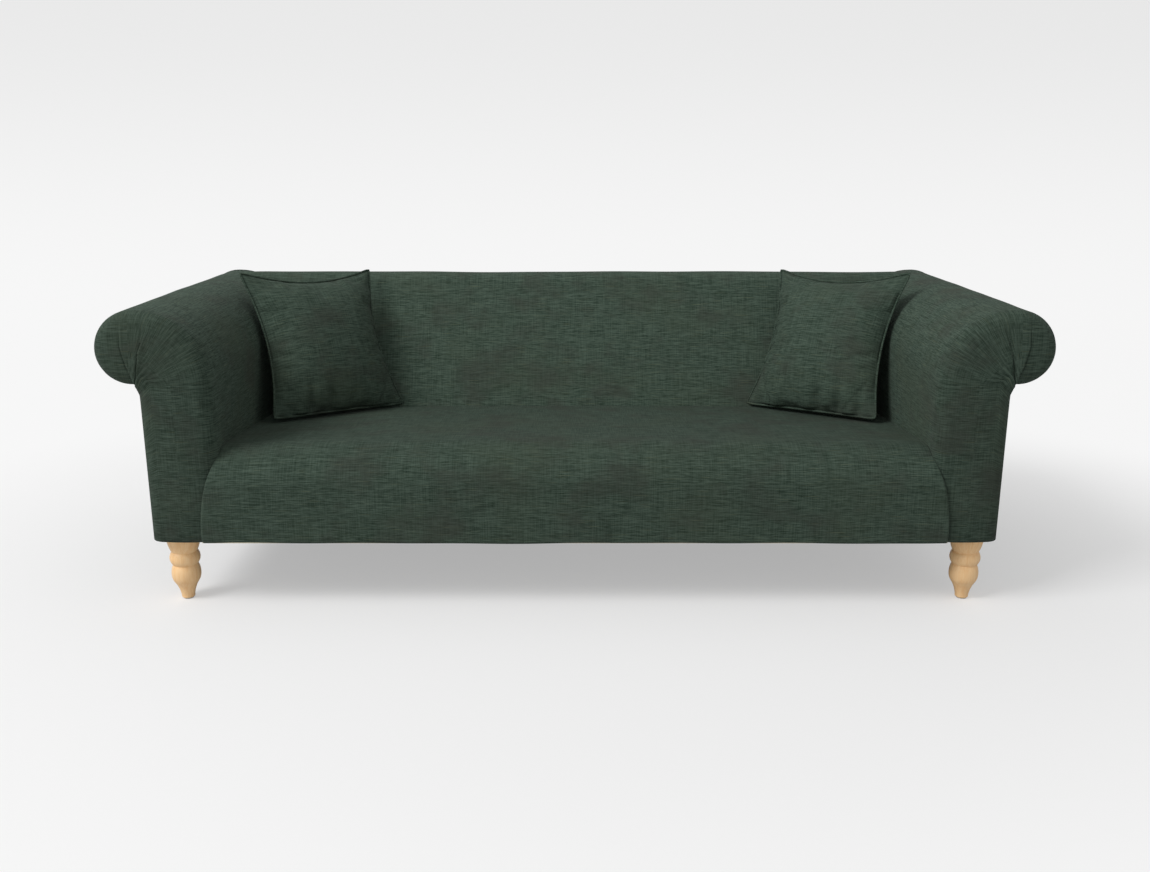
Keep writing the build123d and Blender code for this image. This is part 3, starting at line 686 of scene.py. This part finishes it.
def seat_line(stage, share, crest):
    """One line across the seat: its depths, its heights and its outward direction."""
    level = np.zeros_like(crest)
    nose_z = crest - NOSE_DROP
    if stage == "hem":
        angle = pi / 2 * (1 - share)
        outward = (-cos(angle), -sin(angle))
        return FRONT + HEM + HEM * outward[0] + level, BASE + HEM + HEM * outward[1] + level, outward
    if stage == "front":
        return FRONT + level, BASE + HEM + (nose_z - BASE - HEM) * share, (-1.0, 0.0)
    if stage == "nose":
        angle = (pi / 2 - SEAT_PITCH) * share
        outward = (-cos(angle), sin(angle))
        return FRONT + NOSE_RADIUS * (1 + outward[0]) + level, nose_z + NOSE_RADIUS * outward[1], outward
    outward = (sin(SEAT_PITCH), cos(SEAT_PITCH))
    if stage == "top":
        y = NOSE_END + (SEAT_END - NOSE_END) * share + level
        return y, crest - SEAT_FALL * (y - FRONT), outward
    y = SEAT_END + TAIL_RUN * share + level
    return y, crest - SEAT_FALL * (y - FRONT) - TAIL_DROP * share**0.6, outward


def seat_drop(stage, share, gap):
    """How far the seat's seams draw its cloth in."""
    tightness = {"nose": share, "top": 1.0, "tail": 1.0}.get(stage, 0.0)
    drop = crease_drop(gap, CREASE + (SEAM_CREASE - CREASE) * tightness)
    if stage == "top":
        drop = drop + crease_drop((1 - share) * (SEAT_END - NOSE_END), SEAM_CREASE)
    if stage == "tail":
        drop = drop + SEAM_CREASE
    return drop


def make_seat(cloth):
    """Bench seat in one cloth: hem, front, round nose, top, and a tail tucked under the back."""
    across = np.concatenate([[-1.0], dense_ends(EDGE_BAND / LIP_REACH), [1.0]])
    returned = np.zeros_like(across)
    returned[[0, -1]] = EDGE_RETURN
    lines = [
        (stage, share)
        for stage, count in SEAT_STAGES
        for share in np.linspace(0.0, 1.0, count, endpoint=(stage == "tail"))
    ]
    piece, column, row = woven_grid("seat_cover_cloth", len(across), len(lines))
    crest = SEAT_HEIGHT + SEAT_CROWN * (1 - across**2)
    places = np.zeros((len(lines), len(across), 3))
    for index, (stage, share) in enumerate(lines):
        y, z, outward = seat_line(stage, share, crest)
        half = ARM_INNER - SEAM_GAP if stage in ("top", "tail") else lip_reach(z)
        x = across * half
        gap = (1 - np.abs(across)) * half
        loose = np.clip((JUNCTION - y) / SEAM_HOLD, 0.0, 1.0) * np.clip(gap / SEAM_HOLD, 0.0, 1.0)
        swell = SEAT_LUMPS * lumps(x * 0.55, y * 0.8 + z, 3.0) * loose
        rise = swell + PROUD - seat_drop(stage, share, gap) - returned
        places[index] = np.stack([x, y + outward[0] * rise, z + outward[1] * rise], axis=1)
    along = measure_along(places[:, len(across) // 2, 1:])
    fit_cover(piece, places, along, column, row, (0.0, 0.0, 0.25))
    dress(piece, cloth, "sofa", "seat_cover")


# Back
def arm_face(z):
    """Place of the arm's inner side at height z."""
    rise = np.clip(z - SHOULDER_Z, 0.0, SHOULDER_RADIUS)
    return SHOULDER_X - np.sqrt(SHOULDER_RADIUS**2 - rise**2)


def back_face(z):
    """Place of the raked face of the back at height z."""
    return JUNCTION + (z - SEAT_REAR_HEIGHT) * tan(BACK_RAKE)


def back_section():
    """Side view of the back from below the seat, up its face and over its top, with outward directions."""
    crest_y = back_face(BACK_HEIGHT)
    length = BACK_EDGE * tan((pi / 2 - BACK_RAKE) / 2)
    foot = (back_face(BACK_FOOT), BACK_FOOT)
    face_end = (crest_y - length * sin(BACK_RAKE), BACK_HEIGHT - length * cos(BACK_RAKE))
    first = (crest_y + length, BACK_HEIGHT - BACK_EDGE)
    second = (UPHOLSTERY_REAR - BACK_EDGE, BACK_HEIGHT - BACK_EDGE)
    points = np.concatenate([
        line_points(foot, face_end, 52),
        arc_points(first, BACK_EDGE, 180.0 - np.degrees(BACK_RAKE), 90.0, 14),
        line_points((first[0], BACK_HEIGHT), (second[0], BACK_HEIGHT), 4),
        arc_points(second, BACK_EDGE, 90.0, 0.0, 16),
        line_points((UPHOLSTERY_REAR, second[1]), (UPHOLSTERY_REAR, second[1] - BACK_TURN), 4),
    ])
    steps = np.gradient(points, axis=0)
    steps /= np.linalg.norm(steps, axis=1)[:, None]
    return points, np.stack([-steps[:, 1], steps[:, 0]], axis=1)


def make_back(cloth):
    """Inside back in one cloth, from below the seat over the top."""
    section, outward = back_section()
    across = dense_ends(EDGE_BAND / ARM_INNER)
    piece, column, row = woven_grid("inside_back_cover_cloth", len(across), len(section))
    half = arm_face(np.minimum(section[:, 1], BACK_HEIGHT)) - SEAM_GAP
    x = across[None, :] * half[:, None]
    y = section[:, 0][:, None]
    z = section[:, 1][:, None]
    gap = (1 - np.abs(across))[None, :] * half[:, None]
    swell = BACK_LUMPS * lumps(x * 0.5, z + 0 * x, 6.0) * np.clip(gap / SEAM_HOLD, 0.0, 1.0)
    rise = swell + PROUD - crease_drop(gap, BACK_CREASE) * BACK_CREASE_SHARE
    places = np.stack([x, y + outward[:, 0][:, None] * rise, z + outward[:, 1][:, None] * rise], axis=2)
    fit_cover(piece, places, measure_along(section), column, row, (0.0, 0.40, 0.5))
    dress(piece, cloth, "sofa", "inside_back_cover")


def make_outside_back(cloth):
    """Flat outside back with a soft rolled edge, cut to the scrolls."""
    deselect_all()
    source = frame["nodes"]["outside_back"]
    piece = bpy.data.objects.new("outside_back_cloth", source.data.copy())
    piece.data.name = piece.name
    bpy.context.scene.collection.objects.link(piece)
    tidy_skin(piece, 30.0)
    roll = piece.modifiers.new("roll", "BEVEL")
    roll.width = 0.0012
    roll.segments = 3
    roll.limit_method = "ANGLE"
    roll.angle_limit = radians(60.0)
    apply_all(piece)
    dress(piece, cloth, "sofa", "outside_back")


# Scatter cushions
CUSHION_SIZE = 0.438
CUSHION_HALF = CUSHION_SIZE / 2
CUSHION_STEPS = 61
CUSHION_YAW = radians(44.5)
CUSHION_LEAN = radians(25.5)
CUSHION_ROLL = radians(3.3)
CUSHION_X = ARM_INNER - CUSHION_HALF
CUSHION_Y = JUNCTION - 0.146
CUSHION_LIFT = 0.0180
CUSHION_CLEARANCE = 0.0025
FIRST_BOW = 0.035
FRONT_CROWN = 0.075
REAR_CROWN = 0.050
TOP_DRAW = 0.038
SIDE_DRAW = 0.036
REST_DRAW = 0.003
CORNER_PULL = 0.003
FULLNESS = 0.6
CUSHION_SAG = 0.040
SAG_REACH = 0.3
PAD_SHARE = 0.84
PIPE_RADIUS = 0.0030
PIPE_OUT = 0.0028
FILLING_FRAMES = 20

# Small creases above the lower edge: place along it, width, and share of the crown that is pressed in
CRUMPLES = ((0.104, 0.012, 0.85), (0.168, 0.011, 0.80), (0.040, 0.014, 0.45))
CRUMPLE_RISE = 0.055


def cushion_place():
    """Place of the right cushion from the middle of its lower edge: along it, up it and out of its front."""
    along = Vector((cos(CUSHION_YAW), -sin(CUSHION_YAW), 0.0))
    ahead = Vector((-sin(CUSHION_YAW), -cos(CUSHION_YAW), 0.0))
    out = ahead * cos(CUSHION_LEAN) + Vector((0.0, 0.0, sin(CUSHION_LEAN)))
    up = out.cross(along)
    turned_along = along * cos(CUSHION_ROLL) + up * sin(CUSHION_ROLL)
    turned_up = up * cos(CUSHION_ROLL) - along * sin(CUSHION_ROLL)
    height = SEAT_REAR_HEIGHT + SEAT_FALL * (JUNCTION - CUSHION_Y) + CUSHION_LIFT
    start = Vector((CUSHION_X, CUSHION_Y, height))
    return Matrix((
        (turned_along.x, turned_up.x, out.x, start.x),
        (turned_along.y, turned_up.y, out.y, start.y),
        (turned_along.z, turned_up.z, out.z, start.z),
        (0.0, 0.0, 0.0, 1.0),
    ))


def panel_places(u, v):
    """Where a point of the square lies once the sides are drawn in and the corners are turned."""
    corner = CORNER_PULL * np.abs(u * v) ** 14
    x = u * CUSHION_HALF - np.sign(u) * (SIDE_DRAW * u**2 * (1 - v**2) + corner)
    lower = REST_DRAW * (1 - u**2)
    upper = TOP_DRAW * (1 - u**2)
    drawn = np.where(v > 0, upper * v**2, -lower * v**2) + np.sign(v) * corner
    return x, CUSHION_HALF + v * CUSHION_HALF - drawn


def cushion_panel(name, face):
    """One square of cloth, bowed a little to its face."""
    piece, column, row = woven_grid(name, CUSHION_STEPS, CUSHION_STEPS)
    u = column / (CUSHION_STEPS - 1) * 2 - 1
    v = row / (CUSHION_STEPS - 1) * 2 - 1
    x, y = panel_places(u, v)
    bow = FIRST_BOW * ((1 - u**2) * (1 - v**2)) ** 0.5
    move_points(piece, np.stack([x, y, face * bow], axis=1))
    corners = corner_points(piece)
    lay_weave(piece, np.stack([u[corners] * CUSHION_HALF, v[corners] * CUSHION_HALF + face], axis=1))
    seam = piece.vertex_groups.new(name="seam")
    border = np.flatnonzero((np.abs(u) > 0.999) | (np.abs(v) > 0.999))
    seam.add([int(index) for index in border], 1.0, "REPLACE")
    return piece


def inflate(piece):
    """Blows the cushion up as cloth that is a little too large for its seam."""
    take(piece)
    cloth = piece.modifiers.new("filling", "CLOTH")
    settings = cloth.settings
    settings.quality = 6
    settings.mass = 0.3
    settings.tension_stiffness = 18.0
    settings.compression_stiffness = 18.0
    settings.shear_stiffness = 8.0
    settings.bending_stiffness = 0.3
    settings.air_damping = 4.0
    settings.use_pressure = True
    settings.uniform_pressure_force = 4.0
    settings.shrink_min = -0.05
    settings.shrink_max = -0.05
    settings.vertex_group_mass = "seam"
    settings.effector_weights.gravity = 0.0
    cloth.collision_settings.use_self_collision = False
    cloth.point_cache.frame_start = 1
    cloth.point_cache.frame_end = FILLING_FRAMES
    for step in range(1, FILLING_FRAMES + 1):
        bpy.context.scene.frame_set(step)
    apply_all(piece)
    bpy.context.scene.frame_set(1)


def clear_of_sofa(points, clearance):
    """Keeps cushion points off the seat, the back and the arm."""
    crest = SEAT_HEIGHT + SEAT_CROWN * (1 - (points[:, 0] / ARM_INNER) ** 2)
    seat = crest - SEAT_FALL * (points[:, 1] - FRONT)
    points[:, 2] = np.maximum(points[:, 2], seat + clearance)
    face = back_face(points[:, 2]) - clearance / cos(BACK_RAKE)
    points[:, 1] = np.where(points[:, 2] < BACK_HEIGHT, np.minimum(points[:, 1], face), points[:, 1])
    reach = arm_face(np.minimum(points[:, 2], ARM_TOP - 0.001)) - clearance
    points[:, 0] = np.where(points[:, 2] < ARM_TOP, np.minimum(points[:, 0], reach), points[:, 0])
    return points


def to_corner(points, side, clearance):
    """Sets cushion points into the corner of the sofa on the given side."""
    place = cushion_place()
    world = points @ np.array(place.to_3x3()).T + np.array(place.translation)
    world = clear_of_sofa(world, clearance)
    world[:, 0] *= SIDE_SIGN[side]
    return world


def fill_out(piece):
    """The cover's points, blown up to full crowns, with small crumples where it stands on the seat."""
    points = read_points(piece)
    corners = corner_points(piece)
    weave = np.empty(len(corners) * 2)
    piece.data.uv_layers["weave"].data.foreach_get("uv", weave)
    weave = weave.reshape(-1, 2)
    u, v, face = np.zeros((3, len(points)))
    u[corners] = weave[:, 0] / CUSHION_HALF
    face[corners] = np.sign(weave[:, 1])
    v[corners] = (weave[:, 1] - np.sign(weave[:, 1])) / CUSHION_HALF
    deep = np.where(face > 0, FRONT_CROWN, REAR_CROWN)
    blown = np.maximum(points[:, 2] * face, 0.0)
    tallest = np.where(face > 0, blown[face > 0].max(), blown[face < 0].max())
    crown = np.sqrt(np.maximum((1 - u**2) * (1 - v**2), 0.0))
    height = FULLNESS * crown + (1 - FULLNESS) * blown / tallest
    for x, width, depth in CRUMPLES:
        beside = (points[:, 0] - x) / width
        above = points[:, 1] / CRUMPLE_RISE
        height *= 1 - np.where(face > 0, depth * np.exp(-(beside**2) - above**2), 0.0)
    points[:, 2] = face * deep * height
    sag = CUSHION_SAG * height * np.exp(-(((v + 1) / SAG_REACH) ** 2))
    points[:, 1] -= np.where(face > 0, sag, 0.0)
    return points


def keep_seam(piece):
    """Holds the seam in place while the cover is made finer."""
    take(piece)
    bpy.ops.object.mode_set(mode="EDIT")
    bpy.ops.mesh.select_all(action="DESELECT")
    bpy.ops.object.vertex_group_set_active(group="seam")
    bpy.ops.object.vertex_group_select()
    bpy.ops.transform.edge_crease(value=1.0)
    bpy.ops.object.mode_set(mode="OBJECT")


def make_pad(cover, side):
    """The filled inner cushion, just inside its cover."""
    pad = cover.copy()
    pad.data = cover.data.copy()
    pad.name = f"cushion_pad_{side}_fill"
    pad.data.name = pad.name
    bpy.context.scene.collection.objects.link(pad)
    points = read_points(pad)
    middle = points.mean(axis=0)
    move_points(pad, middle + (points - middle) * PAD_SHARE)
    return pad


def make_cushion(side, cloth, fill):
    """Two panels sewn together, blown up and set into the corner, with the filled pad inside."""
    piece = cushion_panel(f"cushion_cover_{side}_cloth", 1.0)
    back = cushion_panel("cushion_back_panel", -1.0)
    take(piece)
    back.select_set(True)
    bpy.ops.object.join()
    tidy_skin(piece, 60.0)
    face_outwards(piece, (0.0, CUSHION_HALF, 0.0))
    inflate(piece)
    points = fill_out(piece)
    move_points(piece, to_corner(points, side, CUSHION_CLEARANCE))
    if side == "left":
        flip(piece)
    keep_seam(piece)
    finer = piece.modifiers.new("finer", "SUBSURF")
    finer.levels = 1
    finer.render_levels = 1
    apply_all(piece)
    pad = make_pad(piece, side)
    dress(piece, cloth, f"{side}_cushion", f"cushion_cover_{side}")
    dress(pad, fill, f"{side}_cushion", f"cushion_pad_{side}")


def make_piping(side, cloth):
    """Thin cord in cloth all round the seam."""
    edge = np.linspace(-1.0, 1.0, CUSHION_STEPS)[:-1]
    one = np.ones_like(edge)
    u = np.concatenate([edge, one, -edge, -one])
    v = np.concatenate([-one, edge, one, -edge])
    x, y = panel_places(u, v)
    ahead = np.stack([np.roll(x, -1) - np.roll(x, 1), np.roll(y, -1) - np.roll(y, 1)], axis=1)
    ahead /= np.linalg.norm(ahead, axis=1)[:, None]
    path = np.stack([x + PIPE_OUT * ahead[:, 1], y - PIPE_OUT * ahead[:, 0], 0 * x], axis=1)
    deselect_all()
    bpy.ops.mesh.primitive_circle_add(vertices=len(path), radius=CUSHION_HALF, fill_type="NOTHING")
    piece = bpy.context.object
    piece.name = f"cushion_piping_{side}_cord"
    move_points(piece, to_corner(path, side, PIPE_RADIUS + SEAM_GAP))
    bpy.ops.object.convert(target="CURVE")
    piece.data.bevel_depth = PIPE_RADIUS
    piece.data.bevel_resolution = 3
    bpy.ops.object.convert(target="MESH")
    piece = bpy.context.object
    bpy.ops.object.shade_smooth()
    dress(piece, cloth, f"{side}_cushion", f"cushion_piping_{side}")


# Stage, light and camera
STAGE_HALF_WIDTH = 16.0
STAGE_FRONT = -9.0
STAGE_LEVEL_END = 3.0
STAGE_BEND = 3.0
STAGE_TOP = 9.0
STAGE_ROWS = 40
STAGE_LEVEL_ROWS = 22
SKY_LIGHT = 0.54
SKY_SEEN = 0.88
CAMERA_AWAY = 2.725
CAMERA_HEIGHT = 1.178
CAMERA_TILT = radians(14.7)


def studio_paint():
    """Matt paint that looks a little brighter than it is lit, most of all far from the sofa."""
    shade = Shade("studio_paint", Roughness=0.95, Specular_IOR_Level=0.0)
    seen = shade.node("ShaderNodeLightPath").value("Is Camera Ray")
    shade.feed("Base Color", shade.mix(seen, (0.60, 0.60, 0.60), (0.86, 0.86, 0.86)))
    x, y, z = shade.object_axes()
    far = (x * x * 0.64 + y * y).step(1.0, 4.5)
    bright = shade.mix((z * 0.5).step(0.0, 1.2), (0.94, 0.94, 0.94), (0.82, 0.82, 0.82))
    glow = shade.node("ShaderNodeEmission", None, {"Color": bright}).value()
    paint = Value(shade, shade.main.outputs[0])
    sockets = {0: seen * (0.43 + 0.5 * far), 1: paint, 2: glow}
    both = shade.node("ShaderNodeMixShader", None, sockets).value()
    shade.tree.links.new(both.socket, shade.tree.nodes["Material Output"].inputs["Surface"])
    return shade.material


def make_stage():
    """Floor that sweeps up into a backdrop."""
    piece, column, row = woven_grid("studio_sweep", 2, STAGE_ROWS)
    floor = np.linspace(STAGE_FRONT, STAGE_LEVEL_END, STAGE_LEVEL_ROWS)
    turn = np.linspace(0.0, pi / 2, STAGE_ROWS - STAGE_LEVEL_ROWS)[1:]
    y = np.concatenate([floor, STAGE_LEVEL_END + STAGE_BEND * np.sin(turn), [STAGE_LEVEL_END + STAGE_BEND]])
    z = np.concatenate([0 * floor, STAGE_BEND * (1 - np.cos(turn)), [STAGE_TOP]])
    x = np.array([-STAGE_HALF_WIDTH, STAGE_HALF_WIDTH])
    move_points(piece, np.stack([x[column], y[row], z[row]], axis=1))
    face_outwards(piece, (0.0, 20.0, -20.0))
    take(piece)
    bpy.ops.object.shade_smooth()
    piece.data.materials.append(studio_paint())


def soft_lamp(name, place, target, size, power):
    deselect_all()
    bpy.ops.object.light_add(type="AREA", location=place)
    lamp = bpy.context.object
    lamp.name = name
    lamp.data.size = size
    lamp.data.energy = power
    lamp.rotation_euler = (Vector(target) - Vector(place)).to_track_quat("-Z", "Y").to_euler()


def make_light():
    """White surroundings that look brighter than they light, and one large soft lamp from the left."""
    world = bpy.context.scene.world or bpy.data.worlds.new("studio")
    bpy.context.scene.world = world
    world.use_nodes = True
    tree = world.node_tree
    sky = tree.nodes["Background"]
    sky.inputs["Color"].default_value = (1.0, 1.0, 1.0, 1.0)
    seen = tree.nodes.new("ShaderNodeLightPath")
    level = tree.nodes.new("ShaderNodeMapRange")
    level.inputs["To Min"].default_value = SKY_LIGHT
    level.inputs["To Max"].default_value = SKY_SEEN
    tree.links.new(seen.outputs["Is Camera Ray"], level.inputs["Value"])
    tree.links.new(level.outputs["Result"], sky.inputs["Strength"])
    soft_lamp("key_lamp", place=(-7.4, -4.6, 8.6), target=(0.2, 0.0, 0.5), size=4.8, power=860.0)


def make_camera():
    deselect_all()
    place = (0.0, ARM_FRONT - CAMERA_AWAY, CAMERA_HEIGHT)
    bpy.ops.object.camera_add(location=place, rotation=(pi / 2 - CAMERA_TILT, 0.0, 0.0))
    camera = bpy.context.object
    camera.data.sensor_width = 36.0
    camera.data.lens = 35.0
    bpy.context.scene.camera = camera


# Build
# Lit and shaded copies of one cloth, with painted light and shade: the arm fronts darker and the rest of the
# arms lighter, the seat darker and the back lighter than the cloth's own colour; the cushions and the plain
# cloth keep their own colour
arm_cloth = woven_cloth("arm_cloth", Shade.weave_axes, front_painted_light=0.82, rear_painted_light=1.06)
seat_cloth = woven_cloth("seat_cloth", Shade.weave_axes, front_painted_light=0.92, rear_painted_light=0.88)
back_cloth = woven_cloth("back_cloth", Shade.weave_axes, front_painted_light=1.08, rear_painted_light=1.08)
cushion_cloth = woven_cloth("cushion_cloth", Shade.weave_axes)
plain_cloth = woven_cloth("plain_cloth", upright_axes)
filling = fibre("fibre_filling", (0.60, 0.58, 0.53), (0.84, 0.82, 0.78), 160.0, 0.85)
for side in ("left", "right"):
    make_arm(side, arm_cloth)
    make_cushion(side, cushion_cloth, filling)
    make_piping(side, plain_cloth)
make_seat(seat_cloth)
make_back(back_cloth)
make_outside_back(plain_cloth)

# Finish of each material slot on the solids
slot_finishes = {
    "upholstery_fabric": plain_cloth,
    "cushion_fabric": plain_cloth,
    "cushion_fill": filling,
    "foam": fibre("open_cell_foam", (0.62, 0.56, 0.40), (0.82, 0.78, 0.62), 420.0, 0.85),
    "felt": fibre("pressed_felt", (0.20, 0.20, 0.20), (0.42, 0.41, 0.40), 260.0, 0.88),
    "dust_cloth": fibre("dust_cloth", (0.012, 0.012, 0.013), (0.035, 0.035, 0.037), 500.0, 0.85),
    "webbing": webbing_cloth(),
    "frame_timber": sawn_wood("sawn_softwood", (0.44, 0.29, 0.15), (0.68, 0.52, 0.33), 0),
    "frame_ply": sawn_wood("birch_ply", (0.52, 0.38, 0.23), (0.72, 0.58, 0.40), 2),
    "hardboard": fibre("hardboard", (0.20, 0.12, 0.06), (0.34, 0.22, 0.12), 300.0, 0.6),
    "leg_wood": turned_wood(),
    "steel": spring_steel(),
    "glide_plastic": glide_plastic(),
}
for entry in frame["record"]["subparts"]:
    node = frame["nodes"][entry["node"]]
    node.data.materials.clear()
    node.data.materials.append(slot_finishes[entry["material_slot"]])

make_stage()
make_light()
make_camera()
bpy.context.scene.view_settings.view_transform = "Standard"
